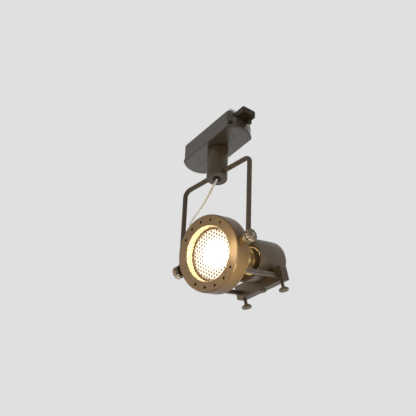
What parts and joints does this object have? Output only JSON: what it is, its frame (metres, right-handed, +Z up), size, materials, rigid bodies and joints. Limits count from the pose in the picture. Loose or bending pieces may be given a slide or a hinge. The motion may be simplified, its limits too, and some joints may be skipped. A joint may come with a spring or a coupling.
{
  "type": "track spotlight",
  "caption": "Track spotlight with a long adapter with arched ends, a swivel stem, a bent-rod yoke, a broad front ring with vent holes and a sliding rear casing on side rails.",
  "frame": {"origin": "on the stem's vertical axis, in the plane where the adapter's top face meets the underside of the track", "axes": "+Z up into the track, +X along the track towards the locking lever, +Y across the track, away from the side that the lamp faces"},
  "size_m": [0.105, 0.1248, 0.2044],
  "materials": {
    "adapter_plastic": "dark grey moulded plastic, satin gloss",
    "stem_paint": "brown-black satin paint",
    "bronze_paint": "warm bronze-grey satin paint",
    "knob_metal": "dark knurled metal",
    "plain_steel": "bright plated steel",
    "rail_steel": "satin steel rails",
    "brass": "bright brass",
    "black_part": "black plastic or blackened steel",
    "cream_moulding": "cream moulding",
    "lamp_ceramic": "off-white ceramic",
    "holder_ceramic": "dark brown steatite",
    "cable_sheath": "pale translucent cable sheath",
    "lamp_glass": "clear pressed glass",
    "reflector_glass": "coated reflector glass"
  },
  "bodies": {
    "adapter": {"adapter_base": "adapter_plastic", "adapter_shell_near": "adapter_plastic", "adapter_shell_far": "adapter_plastic", "shell_screw": "black_part", "side_contacts": "brass", "earth_contact": "brass", "terminal_block": "cream_moulding", "terminal_screws": "brass"},
    "lock": {"lock_cam": "plain_steel", "lock_lever": "adapter_plastic"},
    "yoke": {"swivel_washer": "plain_steel", "swivel_nut": "brass", "stem_nipple": "plain_steel", "stem_washer": "black_part", "stem_tube": "stem_paint", "stem_grub_screw": "black_part", "stem_end_disc": "stem_paint", "cable_bush": "black_part", "yoke_rod": "stem_paint", "cable": "cable_sheath"},
    "head": {"pivot_studs": "plain_steel", "pivot_spacers": "bronze_paint", "front_ring": "bronze_paint", "ring_back_plate": "bronze_paint", "retaining_ring": "black_part", "lamp_lens": "lamp_glass", "lamp_reflector": "reflector_glass", "lamp_capsule": "lamp_glass", "lamp_base": "lamp_ceramic", "lamp_pins": "plain_steel", "side_rails": "rail_steel"},
    "carriage": {"cross_bar": "bronze_paint", "rear_casing": "bronze_paint", "holder_plate": "black_part", "lampholder": "holder_ceramic", "holder_collar": "brass", "centre_screw": "black_part", "cable_grommet": "black_part"},
    "right_knob": {"right_knob": "knob_metal"},
    "left_knob": {"left_knob": "knob_metal"},
    "right_thumb_screw": {"right_thumb_screw": "knob_metal"},
    "left_thumb_screw": {"left_thumb_screw": "knob_metal"}
  },
  "joints": [
    {"name": "lock_turn", "type": "hinge", "parent": "adapter", "child": "lock", "pos_m": [0.03, 0, -0.004], "axis": [0, 0, 1], "range_deg": [0, 90]},
    {"name": "stem_swivel", "type": "hinge", "parent": "adapter", "child": "yoke", "pos_m": [0, 0, -0.022], "axis": [0, 0, 1], "range_deg": [-170, 170]},
    {"name": "head_tilt", "type": "hinge", "parent": "yoke", "child": "head", "pos_m": [0, 0, -0.1535], "axis": [0.9877, 0.1564, 0], "range_deg": [-30, 45], "deforming": ["cable"]},
    {"name": "rear_slide", "type": "slide", "parent": "head", "child": "carriage", "axis": [-0.147, 0.9281, 0.342], "range_m": [0, 0.006]},
    {"name": "right_knob_turn", "type": "hinge", "parent": "head", "child": "right_knob", "pos_m": [0.04938, 0.00782, -0.1535], "axis": [0.9877, 0.1564, 0], "range_deg": [0, 720]},
    {"name": "left_knob_turn", "type": "hinge", "parent": "head", "child": "left_knob", "pos_m": [-0.04938, -0.00782, -0.1535], "axis": [-0.9877, -0.1564, 0], "range_deg": [0, 720]},
    {"name": "right_thumb_turn", "type": "hinge", "parent": "carriage", "child": "right_thumb_screw", "pos_m": [0.01304, 0.07745, -0.16684], "axis": [-0.0535, 0.3378, -0.9397], "range_deg": [0, 720]},
    {"name": "left_thumb_turn", "type": "hinge", "parent": "carriage", "child": "left_thumb_screw", "pos_m": [-0.03634, 0.06963, -0.16684], "axis": [-0.0535, 0.3378, -0.9397], "range_deg": [0, 720]}
  ]
}
